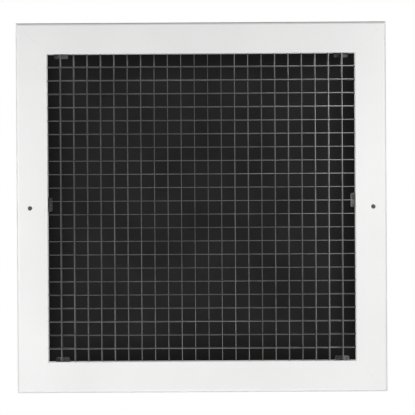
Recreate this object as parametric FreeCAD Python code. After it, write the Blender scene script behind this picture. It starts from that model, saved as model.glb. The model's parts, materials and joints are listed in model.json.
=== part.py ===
import FreeCAD, Part

import math
import os

from FreeCAD import Vector

# A square eggcrate return-air grille: four mitred aluminium rails round a core of crossed strips.
#
# The grille stands upright, as on a wall. +X is to its right seen from the room, +Z is up and
# +Y runs into the duct. Y = 0 is the wall that the lip rests on, and the origin is the middle
# of the grille on that wall. Lengths are in millimetres.

# ---- core ----
CELLS_WIDE = 23
CELLS_HIGH = 23
CELL_PITCH = 12.7
STRIP_THICKNESS = 0.45
CORE_DEPTH = 12.7
EDGE_CELL = 11.875        # middle of the outermost strip to the opening's edge

# ---- border rails, one extruded section ----
BORDER_WIDTH = 29.4       # opening's edge to outer edge
FACE_STAND_OFF = 6.0      # front of the face plate to the wall
FACE_THICKNESS = 1.5
LIP_THICKNESS = 1.5
EDGE_RADIUS = 3.0         # outer corner, where the face plate turns back into the lip
LEDGE_WIDTH = 2.7         # how far the ledge reaches in front of the core, past the neck
LEDGE_DEPTH = 3.5         # front of the face plate to the core's seat
NOSE_RADIUS = 0.5         # front corner of the ledge
NECK_THICKNESS = 1.3
NECK_DEPTH = 25.4         # how far the neck reaches into the duct, from the wall
INNER_FILLET = 0.4        # root of the neck behind the face plate

# ---- screw holes, at mid-height in the two side rails ----
SCREW_HOLE_DIAMETER = 4.2
SCREW_HOLE_INSET = 12.7   # hole's middle to the outer edge
SCREW_HOLE_CHAMFER = 0.4

# ---- corner keys, in a hooked slot behind the face plate ----
KEY_WIDTH = 12.0
KEY_THICKNESS = 1.8
KEY_LEG = 42.0            # from the corner where the two slots' middle lines meet
KEY_CORNER_RADIUS = 1.5
HOOK_THICKNESS = 1.0
HOOK_REACH = 2.0

# ---- core clips, riveted inside the neck behind the core ----
CLIP_WIDTH = 13.5
CLIP_THICKNESS = 1.0
CLIP_SHOWING = 3.0        # how far the tab reaches past the opening's edge
CLIP_SET_BACK = 3.1       # end of the clip's foot to the neck's back edge
CLIP_BEND_RADIUS = 0.6    # inside of the bend
CLIP_CORNER_RADIUS = 1.5
LEFT_CLIP_HEIGHT = 3.4    # above mid-height
RIGHT_CLIP_HEIGHT = 6.35

# ---- rivets ----
RIVET_DIAMETER = 3.2
RIVET_HEAD_DIAMETER = 6.4
RIVET_HEAD_HEIGHT = 1.0
RIVET_TAIL_DIAMETER = 4.8
RIVET_TAIL_HEIGHT = 1.6
RIVET_TAIL_CHAMFER = 0.4

# ---- clearances ----
COAT = 0.05               # between enamelled faces that rest on each other
MITRE_GAP = 0.06          # between two rails at a corner
SLOT_CLEARANCE = 0.05     # each side of a strip in its slot, and at the slot's floor
CORE_END_GAP = 0.3        # end of a strip to the neck
KEY_CLEARANCE = 0.1       # all round a key in its slot
RIVET_CLEARANCE = 0.1     # radial, round a rivet's shank

# ---- modelling ----
ROOM = 1.0                # how far a cutter reaches past what it cuts
TINY = 1e-6               # lengths under this are nothing

# ---- places that follow from the sizes above ----
UPRIGHT_STRIPS = CELLS_WIDE - 1
LEVEL_STRIPS = CELLS_HIGH - 1
LAST_UPRIGHT = (UPRIGHT_STRIPS - 1) / 2 * CELL_PITCH
LAST_LEVEL = (LEVEL_STRIPS - 1) / 2 * CELL_PITCH
OPENING_HALF_WIDTH = LAST_UPRIGHT + EDGE_CELL
OPENING_HALF_HEIGHT = LAST_LEVEL + EDGE_CELL

FACE_FRONT = -FACE_STAND_OFF
FACE_BACK = FACE_FRONT + FACE_THICKNESS
LEDGE_BACK = FACE_FRONT + LEDGE_DEPTH
NECK_INSIDE = LEDGE_WIDTH
NECK_OUTSIDE = NECK_INSIDE + NECK_THICKNESS
LIP_INSIDE = BORDER_WIDTH - LIP_THICKNESS
SCREW_LINE = BORDER_WIDTH - SCREW_HOLE_INSET

CORE_FRONT = LEDGE_BACK + COAT
CORE_BACK = CORE_FRONT + CORE_DEPTH
CORE_MIDDLE = (CORE_FRONT + CORE_BACK) / 2

SLOT_HALF = KEY_WIDTH / 2 + KEY_CLEARANCE
SLOT_FLOOR = FACE_BACK + KEY_THICKNESS + 2 * KEY_CLEARANCE
HOOK_BACK = SLOT_FLOOR + HOOK_THICKNESS

CLIP_FRONT = CORE_BACK + COAT
CLIP_REACH = LEDGE_WIDTH + CLIP_SHOWING
CLIP_BACK = NECK_DEPTH - CLIP_SET_BACK
RIVET_PLACE = (CLIP_FRONT + CLIP_THICKNESS + CLIP_BACK) / 2

# Each side of the grille is made as the bottom side, then turned about Y by quarter turns.
BOTTOM, LEFT, TOP, RIGHT = 0, 1, 2, 3
SIDE_NAMES = ("bottom", "left", "top", "right")

# A clip's side, and its place along that side as it lies before the turn.
CLIPS = {
    "clip_bottom_left": (BOTTOM, -LAST_UPRIGHT),
    "clip_bottom_right": (BOTTOM, LAST_UPRIGHT),
    "clip_left": (LEFT, -LEFT_CLIP_HEIGHT),
    "clip_top_left": (TOP, LAST_UPRIGHT),
    "clip_top_right": (TOP, -LAST_UPRIGHT),
    "clip_right": (RIGHT, RIGHT_CLIP_HEIGHT),
}


def turned(shape, side):
    """The shape, made at the bottom, turned about Y to its own side."""
    shape.rotate(Vector(0, 0, 0), Vector(0, 1, 0), 90 * side)
    return shape


def half_run(side):
    """Half the opening along a side."""
    return OPENING_HALF_WIDTH if side in (BOTTOM, TOP) else OPENING_HALF_HEIGHT


def half_span(side):
    """From the grille's middle to the opening's edge on a side."""
    return OPENING_HALF_HEIGHT if side in (BOTTOM, TOP) else OPENING_HALF_WIDTH


def rounded_outline(corners, place):
    """A closed wire through corners (a, b, radius), with place(a, b) giving points in space."""
    points = [place(a, b) for a, b, _ in corners]
    arcs = []
    starts = []
    ends = []
    for i, (_, _, radius) in enumerate(corners):
        here = points[i]
        back = (points[i - 1] - here).normalize()
        ahead = (points[(i + 1) % len(points)] - here).normalize()
        half_angle = back.getAngle(ahead) / 2
        trim = radius / math.tan(half_angle)
        starts.append(here + back * trim)
        ends.append(here + ahead * trim)
        if radius:
            bisector = (back + ahead).normalize()
            middle = here + bisector * (radius / math.sin(half_angle) - radius)
            arcs.append(Part.Arc(starts[i], middle, ends[i]).toShape())
    lines = [
        Part.LineSegment(ends[i - 1], starts[i]).toShape()
        for i in range(len(points))
        if ends[i - 1].distanceToPoint(starts[i]) > TINY
    ]
    return Part.Wire(Part.__sortEdges__(arcs + lines))


def rail_section(run, span):
    """The extruded section of a bottom rail, standing at its left end."""
    corners = [
        (0, FACE_FRONT, NOSE_RADIUS),
        (BORDER_WIDTH, FACE_FRONT, EDGE_RADIUS),
        (BORDER_WIDTH, 0, 0),
        (LIP_INSIDE, 0, 0),
        (LIP_INSIDE, FACE_BACK, max(EDGE_RADIUS - LIP_THICKNESS, 0)),
    ]
    # the two hooks that hold the corner keys, outer one first
    for away in (1, -1):
        wall = SCREW_LINE + away * SLOT_HALF
        outside = wall + away * HOOK_THICKNESS
        tip = wall - away * HOOK_REACH
        hook = [
            (outside, FACE_BACK, 0),
            (outside, HOOK_BACK, 0),
            (tip, HOOK_BACK, 0),
            (tip, SLOT_FLOOR, 0),
            (wall, SLOT_FLOOR, 0),
            (wall, FACE_BACK, 0),
        ]
        corners += hook[::away]
    corners += [
        (NECK_OUTSIDE, FACE_BACK, INNER_FILLET),
        (NECK_OUTSIDE, NECK_DEPTH, 0),
        (NECK_INSIDE, NECK_DEPTH, 0),
        (NECK_INSIDE, LEDGE_BACK, 0),
        (0, LEDGE_BACK, 0),
    ]
    end = run + BORDER_WIDTH
    return rounded_outline(corners, lambda out, deep: Vector(-end, deep, -span - out))


def mitred_block(run, span):
    """The block between a bottom rail's two mitre planes, a little larger all round than the rail."""
    set_back = MITRE_GAP / math.sqrt(2)
    front = FACE_FRONT - ROOM
    near = Vector(run - ROOM - set_back, front, -span + ROOM)
    far = Vector(run + BORDER_WIDTH + ROOM - set_back, front, -span - BORDER_WIDTH - ROOM)
    near_left = Vector(-near.x, front, near.z)
    far_left = Vector(-far.x, front, far.z)
    outline = Part.makePolygon([near, far, far_left, near_left, near])
    return Part.Face(outline).extrude(Vector(0, NECK_DEPTH + ROOM - front, 0))


def screw_hole(span):
    """The hole's cutter in a bottom rail, with the chamfer at the face plate's front."""
    radius = SCREW_HOLE_DIAMETER / 2
    start = Vector(0, FACE_FRONT - ROOM, -span - SCREW_LINE)
    inward = Vector(0, 1, 0)
    hole = Part.makeCylinder(radius, FACE_THICKNESS + 2 * ROOM, start, inward)
    flare = SCREW_HOLE_CHAMFER + ROOM
    return hole.fuse(Part.makeCone(radius + flare, radius, flare, start, inward))


def rivet_hole(place, span):
    """The cutter of one rivet's hole, through a bottom side's neck and the foot of its clip."""
    radius = RIVET_DIAMETER / 2 + RIVET_CLEARANCE
    start = Vector(place, RIVET_PLACE, -span - NECK_OUTSIDE - ROOM)
    depth = NECK_THICKNESS + COAT + CLIP_THICKNESS + 2 * ROOM
    return Part.makeCylinder(radius, depth, start, Vector(0, 0, 1))


def rail(side):
    """One border rail with its mitred ends, its screw hole and its rivet holes."""
    run = half_run(side)
    span = half_span(side)
    section = Part.Face(rail_section(run, span))
    body = section.extrude(Vector(2 * (run + BORDER_WIDTH), 0, 0))
    body = body.common(mitred_block(run, span))
    cutters = []
    if side in (LEFT, RIGHT):
        cutters.append(screw_hole(span))
    cutters += [rivet_hole(place, span) for at, place in CLIPS.values() if at == side]
    for cutter in cutters:
        body = body.cut(cutter)
    return turned(body.Solids[0], side)


def corner_key(right, top):
    """An L-shaped plate that lies in the slots of the two rails that meet at one corner."""
    half = KEY_WIDTH / 2
    corners = [
        (half, half, KEY_CORNER_RADIUS),
        (-KEY_LEG, half, KEY_CORNER_RADIUS),
        (-KEY_LEG, -half, KEY_CORNER_RADIUS),
        (-half, -half, 0),
        (-half, -KEY_LEG, KEY_CORNER_RADIUS),
        (half, -KEY_LEG, KEY_CORNER_RADIUS),
    ]
    middle_x = right * (OPENING_HALF_WIDTH + SCREW_LINE)
    middle_z = top * (OPENING_HALF_HEIGHT + SCREW_LINE)
    front = FACE_BACK + KEY_CLEARANCE
    outline = rounded_outline(
        corners, lambda a, b: Vector(middle_x + right * a, front, middle_z + top * b)
    )
    return Part.Face(outline).extrude(Vector(0, KEY_THICKNESS, 0))


def comb(half_length, slot_middles, plain_edge, slotted_edge, place):
    """A strip's outline: plain along one edge, slotted to just past the middle from the other."""
    past_middle = math.copysign(SLOT_CLEARANCE, plain_edge - slotted_edge)
    slot_floor = CORE_MIDDLE + past_middle
    half_slot = STRIP_THICKNESS / 2 + SLOT_CLEARANCE
    outline = [
        (half_length, slotted_edge),
        (half_length, plain_edge),
        (-half_length, plain_edge),
        (-half_length, slotted_edge),
    ]
    for middle in slot_middles:
        outline += [
            (middle - half_slot, slotted_edge),
            (middle - half_slot, slot_floor),
            (middle + half_slot, slot_floor),
            (middle + half_slot, slotted_edge),
        ]
    points = [place(along, deep) for along, deep in outline]
    return Part.Face(Part.makePolygon(points + points[:1]))


def strip_places(count, last):
    """The middles of a row of strips, from the lowest place to the highest."""
    return [-last + number * CELL_PITCH for number in range(count)]


def upright_strip(across):
    """A strip that stands upright, whole in front and slotted from the back."""
    half_length = OPENING_HALF_HEIGHT + NECK_INSIDE - CORE_END_GAP
    edge = across - STRIP_THICKNESS / 2
    outline = comb(
        half_length,
        strip_places(LEVEL_STRIPS, LAST_LEVEL),
        CORE_FRONT,
        CORE_BACK,
        lambda along, deep: Vector(edge, deep, along),
    )
    return outline.extrude(Vector(STRIP_THICKNESS, 0, 0))


def level_strip(height):
    """A strip that lies level, whole at the back and slotted from the front."""
    half_length = OPENING_HALF_WIDTH + NECK_INSIDE - CORE_END_GAP
    edge = height - STRIP_THICKNESS / 2
    outline = comb(
        half_length,
        strip_places(UPRIGHT_STRIPS, LAST_UPRIGHT),
        CORE_BACK,
        CORE_FRONT,
        lambda along, deep: Vector(along, deep, edge),
    )
    return outline.extrude(Vector(0, 0, STRIP_THICKNESS))


def clip(side, place):
    """A bent strip: its foot lies on the neck's inside and its tab stands behind the core."""
    span = half_span(side)
    outer_bend = CLIP_BEND_RADIUS + CLIP_THICKNESS
    corners = [
        (COAT, CLIP_FRONT, outer_bend),
        (CLIP_REACH, CLIP_FRONT, 0),
        (CLIP_REACH, CLIP_FRONT + CLIP_THICKNESS, 0),
        (COAT + CLIP_THICKNESS, CLIP_FRONT + CLIP_THICKNESS, CLIP_BEND_RADIUS),
        (COAT + CLIP_THICKNESS, CLIP_BACK, 0),
        (COAT, CLIP_BACK, 0),
    ]
    wall = -span - NECK_INSIDE
    left = place - CLIP_WIDTH / 2
    outline = rounded_outline(corners, lambda inward, deep: Vector(left, deep, wall + inward))
    body = Part.Face(outline).extrude(Vector(CLIP_WIDTH, 0, 0))
    tip = wall + CLIP_REACH
    tip_corners = [
        edge
        for edge in body.Edges
        if edge.BoundBox.ZMin > tip - TINY and edge.BoundBox.XLength < TINY
    ]
    body = body.makeFillet(CLIP_CORNER_RADIUS, tip_corners)
    body = body.cut(rivet_hole(place, span))
    return turned(body.Solids[0], side)


def rivet(side, place):
    """A blind rivet: domed head outside the neck, shank, and upset tail inside the clip."""
    span = half_span(side)
    shank = RIVET_DIAMETER / 2
    head = RIVET_HEAD_DIAMETER / 2
    tail = RIVET_TAIL_DIAMETER / 2
    head_base = -NECK_THICKNESS - COAT
    tail_base = CLIP_THICKNESS + 2 * COAT
    tail_top = tail_base + RIVET_TAIL_HEIGHT
    wall = -span - NECK_INSIDE

    def at(out, inward):
        return Vector(place + out, RIVET_PLACE, wall + inward)

    dome_top = head_base - RIVET_HEAD_HEIGHT
    dome_radius = (head**2 + RIVET_HEAD_HEIGHT**2) / (2 * RIVET_HEAD_HEIGHT)
    dome_middle = dome_top + dome_radius
    half_way = head / 2
    shoulder = dome_middle - math.sqrt(dome_radius**2 - half_way**2)
    dome = Part.Arc(at(0, dome_top), at(half_way, shoulder), at(head, head_base))
    line = [
        at(head, head_base),
        at(shank, head_base),
        at(shank, tail_base),
        at(tail, tail_base),
        at(tail, tail_top - RIVET_TAIL_CHAMFER),
        at(tail - RIVET_TAIL_CHAMFER, tail_top),
        at(0, tail_top),
        at(0, dome_top),
    ]
    edges = [dome.toShape()]
    for start, end in zip(line, line[1:]):
        edges.append(Part.LineSegment(start, end).toShape())
    profile = Part.Face(Part.Wire(edges))
    body = profile.revolve(at(0, 0), Vector(0, 0, 1), 360)
    return turned(body, side)


def save(node, shape):
    """Write one node's STEP file, after a look at the shape's soundness."""
    if not shape.isValid():
        raise ValueError(f"{node} is not a valid shape")
    shape.exportStep(f"parts/{node}.step")
    box = shape.BoundBox
    size = f"{box.XLength:.2f} x {box.YLength:.2f} x {box.ZLength:.2f}"
    print(f"{node}: {len(shape.Solids)} solid(s), {size} mm, {shape.Volume:.1f} mm3")


def main():
    os.makedirs("parts", exist_ok=True)
    for side, name in enumerate(SIDE_NAMES):
        save(f"rail_{name}", rail(side))
    for top, upper in ((-1, "bottom"), (1, "top")):
        for right, hand in ((-1, "left"), (1, "right")):
            save(f"corner_key_{upper}_{hand}", corner_key(right, top))
    for number, across in enumerate(strip_places(UPRIGHT_STRIPS, LAST_UPRIGHT), 1):
        save(f"upright_strip_{number:02d}", upright_strip(across))
    for number, height in enumerate(strip_places(LEVEL_STRIPS, LAST_LEVEL), 1):
        save(f"level_strip_{number:02d}", level_strip(height))
    for name, (side, place) in CLIPS.items():
        save(name, clip(side, place))
    rivets = [rivet(side, place) for side, place in CLIPS.values()]
    save("clip_rivets", Part.makeCompound(rivets))


main()
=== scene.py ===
# %% [markdown]
# # A square eggcrate return-air grille
#
# This lesson dresses a return-air grille for its picture. On the real object four white
# enamelled aluminium rails make a flat border, and thin bare aluminium strips cross inside it
# to make a core of square cells. Small bent clips, riveted inside the neck, hold the core.
#
# The construction arrives already made and at its real size, in metres, as one named object
# for each piece. The grille stands upright: its face looks along -Y, +Y runs into the duct and
# +Z is up. The lesson adds what a drawing of the construction doesn't hold: the finish of each
# surface, softened edges, turned rivets, the dark duct, the studio and the camera.
#
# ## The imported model
#
# Pieces could be looked up one by one, but here they are gathered by the first word of their
# names, so that one finish can be put on a whole family of them.

import json
import math
import random

import bmesh
import bpy
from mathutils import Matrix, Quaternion, Vector


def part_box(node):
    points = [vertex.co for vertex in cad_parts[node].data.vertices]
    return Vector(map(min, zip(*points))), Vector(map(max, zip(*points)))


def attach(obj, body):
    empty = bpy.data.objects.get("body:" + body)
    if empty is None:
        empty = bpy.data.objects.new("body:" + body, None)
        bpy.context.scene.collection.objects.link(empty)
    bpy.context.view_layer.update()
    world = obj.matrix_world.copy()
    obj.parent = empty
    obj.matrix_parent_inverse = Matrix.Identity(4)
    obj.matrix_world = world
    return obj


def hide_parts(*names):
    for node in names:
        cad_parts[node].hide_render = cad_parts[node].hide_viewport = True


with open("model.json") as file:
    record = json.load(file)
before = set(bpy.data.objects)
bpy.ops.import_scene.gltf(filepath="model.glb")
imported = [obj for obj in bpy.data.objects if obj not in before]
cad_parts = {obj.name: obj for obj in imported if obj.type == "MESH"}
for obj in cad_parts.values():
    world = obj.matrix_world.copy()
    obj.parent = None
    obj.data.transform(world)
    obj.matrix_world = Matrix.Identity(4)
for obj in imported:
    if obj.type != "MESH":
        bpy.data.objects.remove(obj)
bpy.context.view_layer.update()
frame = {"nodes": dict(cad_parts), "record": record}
nodes = frame["nodes"]

MM = 0.001

rails = {name: part for name, part in nodes.items() if name.startswith("rail_")}
keys = {name: part for name, part in nodes.items() if name.startswith("corner_key_")}
uprights = {name: part for name, part in nodes.items() if name.startswith("upright_strip_")}
levels = {name: part for name, part in nodes.items() if name.startswith("level_strip_")}
clips = {name: part for name, part in nodes.items() if name.startswith("clip_") and name != "clip_rivets"}

print("rails", len(rails), "keys", len(keys), "strips", len(uprights) + len(levels), "clips", len(clips))

# %% [markdown]
# ## Measures that the finishes and the stage share
#
# Places on the grille could be typed in, but they are worked out from the pieces themselves, so
# they follow when a size changes. The core's box gives the width that the dark cards fill, the
# rails' box gives the neck's back edge, and two neighbouring strips give the cell's pitch.

# %% Measures
def box_of(parts):
    """The lowest and highest corner round several pieces."""
    corners = [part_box(name) for name in parts]
    low = Vector(map(min, *[corner[0] for corner in corners]))
    high = Vector(map(max, *[corner[1] for corner in corners]))
    return low, high


core_low, core_high = box_of({**uprights, **levels})
grille_low, grille_high = box_of(rails)
first_low, first_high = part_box("upright_strip_01")
second_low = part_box("upright_strip_02")[0]

cell_pitch = second_low.x - first_low.x
strip_gauge = first_high.x - first_low.x
half_core = core_high.x
neck_back = grille_high.y

print("cell pitch", round(cell_pitch / MM, 2), "mm, strip", round(strip_gauge / MM, 2), "mm thick")

# %% [markdown]
# ## Softened edges on rails, keys and clips
#
# Enamel baked on an extruded rail has no razor edge: the extrusion die leaves a small radius
# and the coat flows round it. That radius is what catches a thin line of light along an edge
# and at the mitred corners. Keys and clips are sheared and then rubbed smooth, so their edges
# are a little sharper. Such a radius could be modelled into every section, but a Bevel modifier
# does the same to all edges at once. The pieces arrive with split corners, so a Weld comes
# first to join them, and Weighted Normal last keeps the flat faces flat.

# %% Softening helper
WELD_REACH = 0.002 * MM
SHARP_ANGLE = math.radians(35)
EDGE_STEPS = 2


def soften(part, radius):
    """Joins split corners, rounds the sharp edges by a small radius and evens the shading."""
    weld = part.modifiers.new("join_corners", "WELD")
    weld.merge_threshold = WELD_REACH
    bevel = part.modifiers.new("soft_edges", "BEVEL")
    bevel.width = radius
    bevel.segments = EDGE_STEPS
    bevel.limit_method = "ANGLE"
    bevel.angle_limit = SHARP_ANGLE
    bevel.use_clamp_overlap = True
    bevel.harden_normals = False
    shading = part.modifiers.new("even_shading", "WEIGHTED_NORMAL")
    shading.keep_sharp = False
    part.data.shade_smooth()

# %% Rounded edges
ENAMEL_EDGE = 0.12 * MM
SHEARED_EDGE = 0.08 * MM

for part in rails.values():
    soften(part, ENAMEL_EDGE)
for part in list(keys.values()) + list(clips.values()):
    soften(part, SHEARED_EDGE)
print("softened", len(rails) + len(keys) + len(clips), "pieces")

# %% [markdown]
# ## A core that isn't quite true
#
# A core of thin strips is pushed together by hand, and no cell comes out perfectly square: the
# strips wander by a fifth of a millimetre or so. Bending each strip alone would pull the
# slots apart where strips cross. A Lattice is a cage of control points that bends everything
# inside it together, so one loose cage round the whole core moves both families of strips by
# the same amount at every crossing, and the slots still fit. The points on the cage's rim stay
# where they are, because the core's rim is held between the rails' ledge and the clips.

# %% Lattice round the core
CAGE_POINTS = 9
CAGE_LAYERS = 2

cage_data = bpy.data.lattices.new("core_cage")
cage_data.points_u = CAGE_POINTS
cage_data.points_v = CAGE_LAYERS
cage_data.points_w = CAGE_POINTS
cage = bpy.data.objects.new("core_cage", cage_data)
bpy.context.scene.collection.objects.link(cage)
cage.location = (core_low + core_high) / 2
cage.scale = core_high - core_low
cage.hide_render = True

for part in list(uprights.values()) + list(levels.values()):
    bend = part.modifiers.new("wander", "LATTICE")
    bend.object = cage
print("cage of", CAGE_POINTS, "by", CAGE_POINTS, "points round", len(uprights) + len(levels), "strips")

# %% Wandering strips
WANDER = 0.22 * MM
WANDER_SEED = 23

chance = random.Random(WANDER_SEED)
for across in range(CAGE_POINTS):
    for up in range(CAGE_POINTS):
        push = Vector((chance.uniform(-WANDER, WANDER), 0, chance.uniform(-WANDER, WANDER)))
        if across in (0, CAGE_POINTS - 1) or up in (0, CAGE_POINTS - 1):
            push = Vector((0, 0, 0))
        push_in_cage = Vector((push.x / cage.scale.x, 0, push.z / cage.scale.z))
        for layer in range(CAGE_LAYERS):
            point = cage_data.points[across + CAGE_POINTS * (layer + CAGE_LAYERS * up)]
            point.co_deform = point.co + push_in_cage
print("the strips wander by up to", WANDER / MM, "mm each way")

# %% [markdown]
# ## Helpers for building finishes
#
# Every finish below is a small graph of nodes that works from the piece's own coordinates, in
# metres, so its grain has a real size. These helpers keep each finish short: one starts a new
# material, one adds a noise of a given grain size, one turns a noise into a narrow range, one
# mixes two colours and one lays a relief. A noise node's values mostly lie between 0.3 and 0.7,
# so that is the stretch that a range is taken from unless another is given.

# %% Finish helpers
NOISE_LOW = 0.3
NOISE_HIGH = 0.7

# A Mix node has sockets for every kind of data. These are the ones that it mixes colours with.
COLOUR_SOCKETS = (6, 7)
COLOUR_RESULT = 2


class Finish:
    """A material under construction, with its Principled shader and its coordinates."""

    def __init__(self, name):
        self.material = bpy.data.materials.new(name)
        self.material.use_nodes = True
        self.nodes = self.material.node_tree.nodes
        self.links = self.material.node_tree.links
        self.shader = self.nodes["Principled BSDF"]
        self.place = self.nodes.new("ShaderNodeTexCoord").outputs["Object"]

    def link(self, source, target):
        """Feeds one node's output to another one's input."""
        self.links.new(source, target)

    def noise(self, grain, detail=2.0, stretch=(1, 1, 1)):
        """A noise whose blotches are about one grain wide, in metres, before any stretch."""
        mapping = self.nodes.new("ShaderNodeMapping")
        mapping.inputs["Scale"].default_value = stretch
        texture = self.nodes.new("ShaderNodeTexNoise")
        texture.inputs["Scale"].default_value = 1 / grain
        texture.inputs["Detail"].default_value = detail
        self.link(self.place, mapping.inputs["Vector"])
        self.link(mapping.outputs["Vector"], texture.inputs["Vector"])
        return texture.outputs["Fac"]

    def ranged(self, value, low, high, start=NOISE_LOW, end=NOISE_HIGH):
        """The stretch of a value from start to end, spread over the range from low to high."""
        node = self.nodes.new("ShaderNodeMapRange")
        node.inputs["From Min"].default_value = start
        node.inputs["From Max"].default_value = end
        node.inputs["To Min"].default_value = low
        node.inputs["To Max"].default_value = high
        self.link(value, node.inputs["Value"])
        return node.outputs["Result"]

    def blend(self, share, first, second):
        """The colour that a share gives between two others, each a colour or a node's output."""
        node = self.nodes.new("ShaderNodeMix")
        node.data_type = "RGBA"
        self.link(share, node.inputs["Factor"])
        for index, colour in zip(COLOUR_SOCKETS, (first, second)):
            if isinstance(colour, tuple):
                node.inputs[index].default_value = (*colour, 1)
            else:
                self.link(colour, node.inputs[index])
        return node.outputs[COLOUR_RESULT]

    def bump(self, height, distance, below=None):
        """A relief of a given depth, laid over another one if there is one below."""
        node = self.nodes.new("ShaderNodeBump")
        node.inputs["Distance"].default_value = distance
        self.link(height, node.inputs["Height"])
        if below:
            self.link(below, node.inputs["Normal"])
        return node.outputs["Normal"]


def dress(parts, material):
    """Puts one finish on several pieces."""
    for part in parts:
        part.data.materials.clear()
        part.data.materials.append(material)


print("helpers: a Finish has noise, ranged, blend and bump; dress puts it on")

# %% [markdown]
# ## White baked enamel
#
# The border is aluminium sprayed white and baked. Up close such a coat is satin, not glossy,
# with a faint orange peel about a millimetre wide and slow waves where the spray lay thicker.
# A plain white would look like paper, so the tone drifts by a few parts in a hundred, the
# roughness drifts with it, and small specks are a shade greyer. A thin clear coat gives the
# soft sheen of the baked surface.

# %% Enamel
ENAMEL_LIGHT = (0.87, 0.87, 0.865)
ENAMEL_DARK = (0.83, 0.83, 0.825)
ENAMEL_SPECK = (0.74, 0.74, 0.73)
ENAMEL_ROUGHNESS = (0.40, 0.50)
DRIFT_SIZE = 90 * MM
SPECK_SIZE = 2.5 * MM
SPECK_START = 0.58
SPECK_FULL = 0.75
SPECK_SHARE = 0.12
WAVE_SIZE = 24 * MM
WAVE_DEPTH = 0.10 * MM
PEEL_SIZE = 1.1 * MM
PEEL_DEPTH = 0.015 * MM
CLEAR_COAT = 0.12
CLEAR_COAT_ROUGHNESS = 0.25


def enamel():
    """Satin white enamel, with slow waves and a fine orange peel."""
    finish = Finish("baked_enamel")
    cloud = finish.noise(DRIFT_SIZE, detail=3)
    speckle = finish.noise(SPECK_SIZE, detail=4)
    peel = finish.noise(PEEL_SIZE, detail=1)
    wave = finish.noise(WAVE_SIZE, detail=1)
    specks = finish.ranged(speckle, 0, SPECK_SHARE, SPECK_START, SPECK_FULL)
    tone = finish.blend(finish.ranged(cloud, 0, 1), ENAMEL_DARK, ENAMEL_LIGHT)
    tone = finish.blend(specks, tone, ENAMEL_SPECK)
    finish.link(tone, finish.shader.inputs["Base Color"])
    finish.link(finish.ranged(cloud, *ENAMEL_ROUGHNESS), finish.shader.inputs["Roughness"])
    relief = finish.bump(wave, WAVE_DEPTH)
    relief = finish.bump(peel, PEEL_DEPTH, relief)
    finish.link(relief, finish.shader.inputs["Normal"])
    finish.shader.inputs["Coat Weight"].default_value = CLEAR_COAT
    finish.shader.inputs["Coat Roughness"].default_value = CLEAR_COAT_ROUGHNESS
    return finish.material


dress(rails.values(), enamel())
print("enamelled", len(rails), "rails")

# %% [markdown]
# ## Bare rolled strip for the core
#
# The core's strips are slit from rolled aluminium and left bare. The rolled faces, which are the walls of
# the cells, are a darker soft grey that scatters light: partly metal dulled in air and partly painted
# shade of the deep cells. The slit edges, which face the room, are cleaner metal and mirror it. Two
# materials on each strip could do that, but the direction that a surface looks in tells the two apart, so
# one finish is enough: the share of Y in that direction sets the colour, the roughness and how metallic
# the surface is.

# %% The way a surface looks
FACING_START = 0.6
FACING_FULL = 0.8


def size_along(finish, vector, axis):
    """How far a vector reaches along one axis, whichever way it points."""
    parts = finish.nodes.new("ShaderNodeSeparateXYZ")
    size = finish.nodes.new("ShaderNodeMath")
    size.operation = "ABSOLUTE"
    finish.link(vector, parts.inputs["Vector"])
    finish.link(parts.outputs[axis], size.inputs[0])
    return size.outputs[0]


def facing(finish, axis):
    """1 where the surface looks along an axis, either way, and 0 where it looks across it."""
    surface = finish.nodes.new("ShaderNodeNewGeometry")
    size = size_along(finish, surface.outputs["Normal"], axis)
    return finish.ranged(size, 0, 1, FACING_START, FACING_FULL)


print("a surface counts as facing an axis from", FACING_START, "to", FACING_FULL)

# %% [markdown]
# Rolling leaves fine streaks along each strip, and every strip comes from another part of the
# coil, so one is a little brighter than the next. The streaks are a noise squeezed along the
# strip. The change from strip to strip is a second noise that reads only the place across the
# core, so it stays the same all along one strip. A third noise, not squeezed, is the stain of
# years of air: its blotches are several cells wide, so a strip's tone also drifts on its way.

# %% Rolled strip
# The rolled faces' tones are partly dull metal and partly painted shade of the deep cells.
ROLLED_DARK_AND_SHADE = (0.24, 0.243, 0.246)
ROLLED_LIGHT_AND_SHADE = (0.38, 0.383, 0.387)
SLIT_DARK = (0.24, 0.242, 0.245)
SLIT_LIGHT = (0.54, 0.544, 0.549)
DULL_ROUGHNESS = 0.55
SLIT_ROUGHNESS = 0.33
DULL_METAL = 0.40
STREAK_TONE = (0.22, 0.22, 0.225)
STREAK_SHARE = 0.35
STREAK_SIZE = 0.35 * MM
STREAK_SQUEEZE = 0.02
STREAK_DEPTH = 0.004 * MM
# Under a cell's pitch, so that neighbouring strips differ.
COIL_STEP = cell_pitch * 0.7
STAIN_TONE = (0.19, 0.19, 0.19)
STAIN_SHARE = 0.5
STAIN_SIZE = 45 * MM
STAIN_START = 0.42
STAIN_FULL = 0.62


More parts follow.
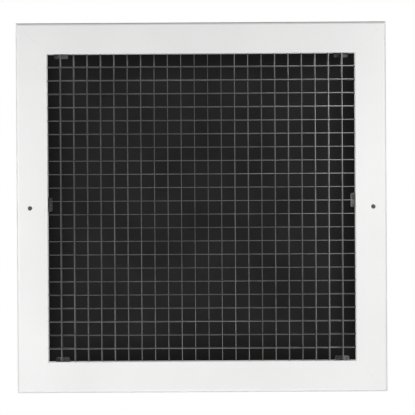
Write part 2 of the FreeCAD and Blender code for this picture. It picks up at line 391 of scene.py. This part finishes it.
def rolled_strip(name, squeeze, coil):
    """Bare strip with streaks squeezed along it, and one tone for each place across the core."""
    finish = Finish(name)
    streak = finish.noise(STREAK_SIZE, detail=3, stretch=squeeze)
    stain = finish.noise(STAIN_SIZE, detail=3)
    sheet = finish.noise(COIL_STEP, detail=0, stretch=coil)
    slit_edge = facing(finish, "Y")
    # The walls of the cells take the darker rolled tones: dull metal and painted shade.
    rolled = finish.blend(finish.ranged(sheet, 0, 1), ROLLED_DARK_AND_SHADE, ROLLED_LIGHT_AND_SHADE)
    rolled = finish.blend(finish.ranged(streak, 0, STREAK_SHARE), rolled, STREAK_TONE)
    slit = finish.blend(finish.ranged(sheet, 0, 1), SLIT_DARK, SLIT_LIGHT)
    tone = finish.blend(slit_edge, rolled, slit)
    stained = finish.ranged(stain, 0, STAIN_SHARE, STAIN_START, STAIN_FULL)
    tone = finish.blend(stained, tone, STAIN_TONE)
    roughness = finish.ranged(slit_edge, DULL_ROUGHNESS, SLIT_ROUGHNESS, 0, 1)
    metal = finish.ranged(slit_edge, DULL_METAL, 1, 0, 1)
    finish.link(tone, finish.shader.inputs["Base Color"])
    finish.link(roughness, finish.shader.inputs["Roughness"])
    finish.link(metal, finish.shader.inputs["Metallic"])
    finish.link(finish.bump(streak, STREAK_DEPTH), finish.shader.inputs["Normal"])
    return finish.material


upright_finish = rolled_strip("rolled_strip_upright", (1, 1, STREAK_SQUEEZE), (1, 0, 0))
level_finish = rolled_strip("rolled_strip_level", (STREAK_SQUEEZE, 1, 1), (0, 0, 1))
dress(uprights.values(), upright_finish)
dress(levels.values(), level_finish)
print("dressed", len(uprights), "upright and", len(levels), "level strips")

# %% [markdown]
# ## Spring clips and corner keys
#
# Clips and keys are punched from aluminium strip. A punched part keeps the mill's fine brushed grain on
# its faces, and it picks up dull fingerprints and dark oxide when it is bent or tapped into place. Both
# use one recipe: grain along one axis, oxide as a blotchy noise. On the clips that dark tone is also
# painted shade. Each clip gets its own finish, with its own least and most share of oxide and painted
# shade, so the top clips and the left one are painted darker, one of them nearly black, and the right one
# is almost clean.

# %% Punched strip
OXIDE_AND_SHADE = (0.11, 0.11, 0.115)
OXIDE_START = 0.42
OXIDE_FULL = 0.60
SCUFF_SIZE = 6.5 * MM
BRUSH_DEPTH = 0.006 * MM
PUNCHED_ROUGHNESS = (0.32, 0.5)


def punched_strip(name, dark, light, grain, squeeze, wear_and_shade):
    """Punched aluminium with brushed grain; wear_and_shade is the least and the most share of the dark
    tone: oxide on keys, oxide and painted shade on clips.
    """
    finish = Finish(name)
    brush = finish.noise(grain, detail=3, stretch=squeeze)
    scuff = finish.noise(SCUFF_SIZE, detail=3)
    tone = finish.blend(finish.ranged(brush, 0, 1), dark, light)
    oxide_and_shade_share = finish.ranged(scuff, *wear_and_shade, OXIDE_START, OXIDE_FULL)
    tone = finish.blend(oxide_and_shade_share, tone, OXIDE_AND_SHADE)
    finish.link(tone, finish.shader.inputs["Base Color"])
    finish.link(finish.ranged(scuff, *PUNCHED_ROUGHNESS), finish.shader.inputs["Roughness"])
    finish.link(finish.bump(brush, BRUSH_DEPTH), finish.shader.inputs["Normal"])
    finish.shader.inputs["Metallic"].default_value = 1
    return finish.material

# %% Clips and keys
CLIP_DARK = (0.50, 0.50, 0.51)
CLIP_LIGHT = (0.80, 0.80, 0.81)
CLIP_GRAIN = 0.4 * MM
CLIP_SQUEEZE = (1, 0.05, 1)
# Each clip's least and most share of oxide and painted shade: the top clips and the left one are painted
# darker.
CLIP_OXIDE_AND_SHADE = {
    "clip_top_left": (0.30, 0.90),
    "clip_top_right": (0.92, 1.00),
    "clip_bottom_left": (0.10, 0.75),
    "clip_bottom_right": (0.10, 0.80),
    "clip_left": (0.60, 0.95),
    "clip_right": (0.00, 0.35),
}
KEY_DARK = (0.52, 0.52, 0.53)
KEY_LIGHT = (0.72, 0.72, 0.73)
KEY_GRAIN = 0.5 * MM
KEY_SQUEEZE = (0.05, 1, 1)
KEY_WEAR = (0, 0.3)

for name, wear_and_shade in CLIP_OXIDE_AND_SHADE.items():
    clip_finish = punched_strip(name, CLIP_DARK, CLIP_LIGHT, CLIP_GRAIN, CLIP_SQUEEZE, wear_and_shade)
    dress([clips[name]], clip_finish)
key_finish = punched_strip("key_strip", KEY_DARK, KEY_LIGHT, KEY_GRAIN, KEY_SQUEEZE, KEY_WEAR)
dress(keys.values(), key_finish)
print("dressed", len(CLIP_OXIDE_AND_SHADE), "clips and", len(keys), "corner keys")

# %% [markdown]
# ## Blind rivets, with what is left of their pins
#
# A blind rivet is set by pulling a steel pin through it until the pin snaps off inside. The
# domed head then shows a small round hole with the broken pin end in it, and the far side
# shows the rivet's swollen end round the pin's head. A plain dome would miss that, so each
# rivet is turned as a lathe would turn it: a profile spun round its own axis with bmesh. The
# rivets stand where the construction has them, at the middle of each clip's foot.

# %% Lathe helpers
LATHE_TURNS = 48


def turn_profile(mesh, profile, centre, outward):
    """Spins (radius, height) points round an axis through centre; height grows along outward."""
    side = outward.orthogonal().normalized()
    first = []
    for radius, height in profile:
        first.append(mesh.verts.new(centre + side * radius + outward * height))
    edges = [mesh.edges.new(pair) for pair in zip(first, first[1:])]
    bmesh.ops.spin(
        mesh, geom=first + edges, cent=centre, axis=outward,
        angle=math.tau, steps=LATHE_TURNS, use_merge=True,
    )


def arc(middle, radius, start, end, steps):
    """Points (across, height) along a round stretch of a profile; angles are in degrees."""
    points = []
    for step in range(steps + 1):
        angle = math.radians(start + (end - start) * step / steps)
        points.append((middle[0] + radius * math.cos(angle), middle[1] + radius * math.sin(angle)))
    return points


print("a profile is turned in", LATHE_TURNS, "steps")

# %% From a bmesh to a piece
MERGE_REACH = 0.001 * MM
CREASE_ANGLE = math.radians(40)


def finished_piece(mesh, name, material):
    """A bmesh made into a named piece that rides on the grille's one body."""
    bmesh.ops.remove_doubles(mesh, verts=mesh.verts, dist=MERGE_REACH)
    bmesh.ops.recalc_face_normals(mesh, faces=mesh.faces)
    data = bpy.data.meshes.new(name)
    mesh.to_mesh(data)
    mesh.free()
    piece = bpy.data.objects.new(name, data)
    bpy.context.scene.collection.objects.link(piece)
    data.materials.append(material)
    data.shade_smooth()
    data.set_sharp_from_angle(angle=CREASE_ANGLE)
    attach(piece, "root")
    print(name, "has", len(data.polygons), "faces")
    return piece

# %% [markdown]
# The rivet's finish is drawn aluminium: bright, with a fine grain and faint smears from the
# setting tool. The pin is plain steel, darker, and rougher where it broke.

# %% Rivet and pin finishes
DRAWN_GRAIN = 0.5 * MM
DRAWN_DEPTH = 0.01 * MM
SMEAR_SIZE = 3 * MM


def drawn_metal(name, dark, light, roughness):
    """Small metal parts with a fine all-over grain; roughness is its lowest and highest value."""
    finish = Finish(name)
    grain = finish.noise(DRAWN_GRAIN, detail=4)
    smear = finish.noise(SMEAR_SIZE, detail=2)
    tone = finish.blend(finish.ranged(smear, 0, 1), dark, light)
    finish.link(tone, finish.shader.inputs["Base Color"])
    finish.link(finish.ranged(grain, *roughness), finish.shader.inputs["Roughness"])
    finish.link(finish.bump(grain, DRAWN_DEPTH), finish.shader.inputs["Normal"])
    finish.shader.inputs["Metallic"].default_value = 1
    return finish.material


rivet_finish = drawn_metal("drawn_rivet", (0.72, 0.72, 0.73), (0.86, 0.86, 0.87), (0.22, 0.36))
pin_finish = drawn_metal("steel_pin", (0.22, 0.22, 0.23), (0.36, 0.36, 0.37), (0.35, 0.6))
print("finishes", rivet_finish.name, "and", pin_finish.name)

# %% Rivet sizes
HEAD_RADIUS = 3.2 * MM
HEAD_HEIGHT = 1.0 * MM
SHANK_RADIUS = 1.6 * MM
TAIL_RADIUS = 2.4 * MM
TAIL_HEIGHT = 1.6 * MM
TAIL_ROUNDING = 0.5 * MM
PIN_RADIUS = 0.85 * MM
PIN_SINK = 0.35 * MM
KNOB_SINK = 0.3 * MM

rivet_low, rivet_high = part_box("clip_rivets")
rivet_line = (rivet_low.y + rivet_high.y) / 2
head_top = rivet_high.x
head_base = head_top - HEAD_HEIGHT
print("rivet heads reach", round(head_top / MM, 2), "mm from the middle")

# %% Rivet profiles
KNOB_RADIUS = 1.3 * PIN_RADIUS
DOME_STEPS = 10
ROUNDING_STEPS = 5


def head_profile():
    """The flat underside, the dome and the mouth that the pin broke in, from the shank up."""
    dome_radius = (HEAD_RADIUS**2 + HEAD_HEIGHT**2) / (2 * HEAD_HEIGHT)
    dome_middle = HEAD_HEIGHT - dome_radius
    rim = math.degrees(math.asin(-dome_middle / dome_radius))
    mouth = math.degrees(math.acos(PIN_RADIUS / dome_radius))
    dome = arc((0, dome_middle), dome_radius, rim, mouth, DOME_STEPS)
    pin_face = dome[-1][1] - PIN_SINK
    profile = [(SHANK_RADIUS, 0), (HEAD_RADIUS, 0)] + dome
    profile += [(PIN_RADIUS, pin_face), (0, pin_face)]
    return profile, pin_face


def tail_profile(tail_base):
    """The swollen end inside the neck, with the socket that the pin's knob sits in."""
    tail_end = tail_base - TAIL_HEIGHT
    socket = tail_end + KNOB_SINK
    shoulder = (TAIL_RADIUS - TAIL_ROUNDING, tail_end + TAIL_ROUNDING)
    profile = [(0, socket), (KNOB_RADIUS, socket), (KNOB_RADIUS, tail_end)]
    profile += arc(shoulder, TAIL_ROUNDING, -90, 0, ROUNDING_STEPS)
    profile += [(TAIL_RADIUS, tail_base), (SHANK_RADIUS, tail_base)]
    return profile, tail_end


print("a rivet's shank is", SHANK_RADIUS / MM, "mm and its head", HEAD_RADIUS / MM, "mm in radius")

# %% Pin profiles
STUB_HEIGHT = 0.18 * MM
STUB_BREAK_HEIGHT = 0.7 * STUB_HEIGHT
STUB_BREAK_RADIUS = 0.72 * PIN_RADIUS
STUB_FOOT_RADIUS = 0.86 * PIN_RADIUS
KNOB_FACE_SINK = 0.06 * MM
KNOB_FACE_RADIUS = 0.85 * KNOB_RADIUS
KNOB_FOOT_RADIUS = 0.92 * KNOB_RADIUS


def stub_profile(pin_face):
    """The broken end of the pin, a low cone with a blunt rim in the mouth of the head."""
    tip = (0, pin_face + STUB_HEIGHT)
    rim = (STUB_BREAK_RADIUS, pin_face + STUB_BREAK_HEIGHT)
    return [tip, rim, (STUB_FOOT_RADIUS, pin_face)]


def knob_profile(tail_end):
    """The pin's own head, which swelled the tail and stays in it."""
    tip = (0, tail_end)
    rim = (KNOB_FACE_RADIUS, tail_end + KNOB_FACE_SINK)
    return [tip, rim, (KNOB_FOOT_RADIUS, tail_end + KNOB_SINK)]


print("a pin's stub stands", round(STUB_HEIGHT / MM, 2), "mm over its seat in the head")

# %% Rivets
# The clip's thickness, and the play between the clip and the rivet's swollen end.
CLIP_GAUGE = 1.0 * MM
TAIL_PLAY = 0.05 * MM
ACROSS = 0
UP = 2


def clip_wall(name):
    """Where a clip's rivet goes: its place along the wall, its outward direction, the wall's face."""
    low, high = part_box(name)
    middle = (low + high) / 2
    axis = ACROSS if abs(middle.x) > abs(middle.z) else UP
    outward = Vector((0, 0, 0))
    outward[axis] = math.copysign(1, middle[axis])
    face = max(abs(low[axis]), abs(high[axis]))
    along = middle - outward * middle.dot(outward)
    along.y = rivet_line
    return along, outward, face


rivets = bmesh.new()
pins = bmesh.new()
for name in clips:
    along, outward, face = clip_wall(name)
    seat = along + outward * head_base
    head, pin_face = head_profile()
    tail, tail_end = tail_profile(face - head_base - CLIP_GAUGE - TAIL_PLAY)
    turn_profile(rivets, tail + head, seat, outward)
    turn_profile(pins, stub_profile(pin_face), seat, outward)
    turn_profile(pins, knob_profile(tail_end), seat, outward)

set_rivets = finished_piece(rivets, "set_rivets", rivet_finish)
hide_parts("clip_rivets")
finished_piece(pins, "rivet_pins", pin_finish)
print("turned", len(clips), "rivets and their pins")

# %% [markdown]
# ## The dark of the duct
#
# Behind a grille there is an unlit duct, so its cells look almost black. Here the grille stands free, and
# the bright studio would shine through the cells. A dark card just inside the neck is painted shade in
# place of the duct: it is part of the stage and not of the grille. It has a faint painted glow, which is
# painted darker near the neck's walls as their shade. Its back is clear, so the grille can be seen from
# behind. Two tiny cards are painted shade in the same way behind the screw holes, which on a wall would
# look into its dark.
# None of them casts a shade. In a real duct no lamp shines on the strips from behind either, so
# one more card, which isn't seen at all, shades them. It stops short of the clips and the neck.

# %% Fading to clear
def fade_to_clear(finish, surface, share):
    """Shows a surface, and lets the light straight through instead by the given share."""
    clear = finish.nodes.new("ShaderNodeBsdfTransparent")
    either = finish.nodes.new("ShaderNodeMixShader")
    finish.link(share, either.inputs[0])
    finish.link(surface, either.inputs[1])
    finish.link(clear.outputs[0], either.inputs[2])
    finish.link(either.outputs[0], finish.nodes["Material Output"].inputs["Surface"])


print("a surface can now fade to clear, from behind or with distance")

# %% Dark card finish
RIM_START = 0.82
GLOW_DRIFT = 0.15
GLOW_CLOUD_SIZE = 40 * MM


def painted_shade_card_finish(name, glow, rim_painted_shade_glow, reach):
    """A faint painted glow on painted shade, painted darker towards the card's rim as shade, and nothing
    at all from behind.
    """
    finish = Finish(name)
    finish.nodes.remove(finish.shader)
    inside = finish.nodes.new("ShaderNodeMath")
    inside.operation = "MINIMUM"
    for axis, socket in zip(("X", "Z"), inside.inputs):
        out_from_middle = size_along(finish, finish.place, axis)
        finish.link(finish.ranged(out_from_middle, 1, 0, reach * RIM_START, reach), socket)
    cloud = finish.noise(GLOW_CLOUD_SIZE, detail=3)
    level = finish.nodes.new("ShaderNodeMapRange")
    level.inputs["To Min"].default_value = rim_painted_shade_glow
    finish.link(inside.outputs[0], level.inputs["Value"])
    finish.link(
        finish.ranged(cloud, glow * (1 - GLOW_DRIFT), glow * (1 + GLOW_DRIFT)),
        level.inputs["To Max"],
    )
    light = finish.nodes.new("ShaderNodeEmission")
    side = finish.nodes.new("ShaderNodeNewGeometry")
    finish.link(level.outputs["Result"], light.inputs["Strength"])
    fade_to_clear(finish, light.outputs[0], side.outputs["Backfacing"])
    return finish.material


# Painted glow: the cards are no lamps. Their faint emission, dimmer at the rim, is painted shade of a
# dark duct and of the wall behind the holes.
DUCT_GLOW = 0.0178
RIM_PAINTED_SHADE_GLOW = 0.0080
HOLE_GLOW = 0.105
# In metres, and further out than the grille itself, so that a hole's card never fades.
NO_RIM = 1.0

painted_duct_shade_finish = painted_shade_card_finish("duct_painted_shade", DUCT_GLOW, RIM_PAINTED_SHADE_GLOW, half_core)
painted_hole_shade_finish = painted_shade_card_finish("hole_painted_shade", HOLE_GLOW, HOLE_GLOW, NO_RIM)
print("the duct glows by", DUCT_GLOW, "and the screw holes by", HOLE_GLOW)

# %% A flat card
SQUARE = 4


def card(name, centre, half, material, corners=SQUARE, shade=False):
    """A flat card that faces the room: one to be seen, or an unseen one that casts a shade."""
    mesh = bmesh.new()
    turn = math.pi / SQUARE if corners == SQUARE else 0
    reach = half * math.sqrt(2) if corners == SQUARE else half
    ring = []
    for corner in range(corners):
        angle = turn + math.tau * corner / corners
        ring.append(mesh.verts.new(centre + Vector((math.cos(angle), 0, math.sin(angle))) * reach))
    mesh.faces.new(ring)
    data = bpy.data.meshes.new(name)
    mesh.to_mesh(data)
    mesh.free()
    piece = bpy.data.objects.new(name, data)
    bpy.context.scene.collection.objects.link(piece)
    data.materials.append(material)
    piece.visible_camera = not shade
    piece.visible_glossy = not shade
    piece.visible_shadow = shade
    piece.visible_diffuse = False
    piece.visible_transmission = False
    print(name, "at", round(centre.x / MM, 1), "mm across and", round(centre.y / MM, 1), "mm deep")

# %% Cards in the duct
CARD_INSET = 1.2 * MM
SHADE_INSET = 9.0 * MM

# The seen card is painted shade with a painted glow. The unseen shade card casts a real shadow.
card_place = Vector((0, neck_back - CARD_INSET, 0))
card("duct_painted_shade_card", card_place, half_core, painted_duct_shade_finish)
card("core_shade_card", card_place, half_core - SHADE_INSET, painted_duct_shade_finish, shade=True)

# %% Cards behind the screw holes
HOLE_CARD_RADIUS = 3.2 * MM
HOLE_CARD_DEPTH = 2.0 * MM
HOLE_CARD_CORNERS = 24

holes = next(mount for mount in frame["record"]["mounts"] if mount["name"] == "screw_holes")
hole_reach = holes["dims"]["spacing_x_mm"] * MM / 2
# These two cards are painted shade with a painted glow, in place of the wall's dark behind the holes.
for side, name in ((-1, "hole_painted_shade_left"), (1, "hole_painted_shade_right")):
    place = Vector((side * hole_reach, holes["pos_m"][1] + HOLE_CARD_DEPTH, 0))
    card(name, place, HOLE_CARD_RADIUS, painted_hole_shade_finish, corners=HOLE_CARD_CORNERS)

# %% [markdown]
# ## The studio
#
# The grille is shown against plain white, with no shadow behind it, as a ceiling or wall part
# is shown in a trade list. The world is white where the camera looks straight at it, and only a
# dim grey where it lights the pieces, so that the insides of the cells stay dark. A Light Path
# node tells the two apart.

# %% World
WORLD_SEEN = 1.0
WORLD_LIGHT = 0.02
WHITE = (1, 1, 1, 1)

world = bpy.data.worlds.new("studio")
bpy.context.scene.world = world
world.use_nodes = True
studio = world.node_tree
dim = studio.nodes["Background"]
bright = studio.nodes.new("ShaderNodeBackground")
dim.inputs["Color"].default_value = WHITE
dim.inputs["Strength"].default_value = WORLD_LIGHT
bright.inputs["Color"].default_value = WHITE
bright.inputs["Strength"].default_value = WORLD_SEEN

seen = studio.nodes.new("ShaderNodeLightPath")
choice = studio.nodes.new("ShaderNodeMixShader")
studio.links.new(seen.outputs["Is Camera Ray"], choice.inputs[0])
studio.links.new(dim.outputs[0], choice.inputs[1])
studio.links.new(bright.outputs[0], choice.inputs[2])
studio.links.new(choice.outputs[0], studio.nodes["World Output"].inputs["Surface"])
print("world: seen at", WORLD_SEEN, "and lighting at", WORLD_LIGHT)

# %% [markdown]
# Soft square lamps do the lighting. One on each side rakes across the face, the left one
# stronger. One below brightens the lower border, so the top looks a shade greyer. Two weaker
# ones in front fill in. Two more stand behind, for whoever walks round to the back. All of
# them face the middle of the grille, and the camera doesn't see them.

# %% Lamps
LAMP_SIZE = 0.4
# Each lamp's place in metres, and its power in watts.
LAMPS = {
    "lamp_left": ((-0.60, -0.45, 0.03), 3.2),
    "lamp_right": ((0.60, -0.45, 0.05), 2.0),
    "lamp_right_front": ((0.40, -0.70, 0.20), 1.8),
    "lamp_low": ((0.00, -0.50, -0.80), 3.4),
    "lamp_front": ((0.00, -1.20, -0.50), 0.8),
    "lamp_back_left": ((-0.90, 0.90, 0.60), 9.0),
    "lamp_back_right": ((0.90, 0.90, 0.60), 9.0),
}
middle_of_face = Vector((0, grille_low.y, 0))


def lamp(name, place, power):
    """A square soft lamp that faces the middle of the grille's face."""
    data = bpy.data.lights.new(name, "AREA")
    data.shape = "SQUARE"
    data.size = LAMP_SIZE
    data.energy = power
    light = bpy.data.objects.new(name, data)
    bpy.context.scene.collection.objects.link(light)
    light.location = place
    light.rotation_mode = "QUATERNION"
    light.rotation_quaternion = (middle_of_face - Vector(place)).to_track_quat("-Z", "Y")
    light.visible_camera = False


for name, (place, power) in LAMPS.items():
    lamp(name, place, power)
print("lamps", list(LAMPS))

# %% [markdown]
# The floor is pale and lies well below, because the grille hangs on a wall and stands on
# nothing. It is a wide plain disc. Its edge would draw a hard line behind the grille in a low
# view, so its finish fades to clear towards the rim. It glows by itself, so that it looks evenly
# pale, but the matt surfaces of the grille are kept from picking that glow up.

# %% Floor finish
FLOOR_RADIUS = 6.0
FADE_START = 2.0
FLOOR_LIGHT = (0.84, 0.84, 0.835)
FLOOR_DARK = (0.80, 0.80, 0.795)
FLOOR_ROUGHNESS = 0.9
FLOOR_GLOW = 0.62
MOTTLE_SIZE = 0.8


def floor_finish():
    """A pale mottled floor that fades to clear from its middle to its rim."""
    finish = Finish("pale_floor")
    mottle = finish.noise(MOTTLE_SIZE, detail=3)
    tone = finish.blend(finish.ranged(mottle, 0, 1), FLOOR_DARK, FLOOR_LIGHT)
    finish.link(tone, finish.shader.inputs["Base Color"])
    finish.shader.inputs["Roughness"].default_value = FLOOR_ROUGHNESS
    finish.shader.inputs["Emission Color"].default_value = WHITE
    finish.shader.inputs["Emission Strength"].default_value = FLOOR_GLOW
    distance = finish.nodes.new("ShaderNodeVectorMath")
    distance.operation = "LENGTH"
    finish.link(finish.place, distance.inputs[0])
    fade = finish.ranged(distance.outputs["Value"], 0, 1, FADE_START, FLOOR_RADIUS)
    fade_to_clear(finish, finish.shader.outputs[0], fade)
    return finish.material

# %% Floor
FLOOR_DROP = 1.2
FLOOR_CORNERS = 96

floor_mesh = bmesh.new()
bmesh.ops.create_circle(floor_mesh, cap_ends=True, segments=FLOOR_CORNERS, radius=FLOOR_RADIUS)
floor_data = bpy.data.meshes.new("floor")
floor_mesh.to_mesh(floor_data)
floor_mesh.free()
floor_data.materials.append(floor_finish())
floor = bpy.data.objects.new("floor", floor_data)
bpy.context.scene.collection.objects.link(floor)
floor.location = (0, 0, -FLOOR_DROP)
floor.visible_diffuse = False
print("floor", FLOOR_DROP, "m below the grille's middle")

# %% [markdown]
# ## The camera
#
# The grille is seen square on, from 1.4 metres, with a long lens, so upright and level lines
# stay nearly parallel. The camera stands straight in front of the middle. From there no view
# slips past the ledge to the neck's bright wall, as it would from one side. It is rolled by a
# third of a degree and turned and tilted by no more than that, as a camera on a tripod often
# is. A small shift of the lens puts the grille a little left of the picture's middle. The
# Standard view shows white as plain white, which a filmic view would turn grey.

# %% Camera
CAMERA_DISTANCE = 1.4
TURN = math.radians(-0.096)
TILT = math.radians(-0.325)
ROLL = math.radians(0.323)
LENS = 128.28
SENSOR_WIDTH = 36
SHIFT = 0.02

camera_data = bpy.data.cameras.new("camera")
camera_data.lens = LENS
camera_data.sensor_width = SENSOR_WIDTH
camera_data.shift_x = SHIFT
camera_data.shift_y = SHIFT
camera = bpy.data.objects.new("camera", camera_data)
bpy.context.scene.collection.objects.link(camera)
camera.location = (0, -CAMERA_DISTANCE, 0)

forward = Vector((math.sin(TURN) * math.cos(TILT), math.cos(TURN) * math.cos(TILT), math.sin(TILT)))
level_look = forward.to_track_quat("-Z", "Y")
camera.rotation_mode = "QUATERNION"
camera.rotation_quaternion = Quaternion(forward, ROLL) @ level_look
bpy.context.scene.camera = camera
bpy.context.scene.view_settings.view_transform = "Standard"
print("camera", tuple(round(value, 3) for value in camera.location), "lens", LENS)
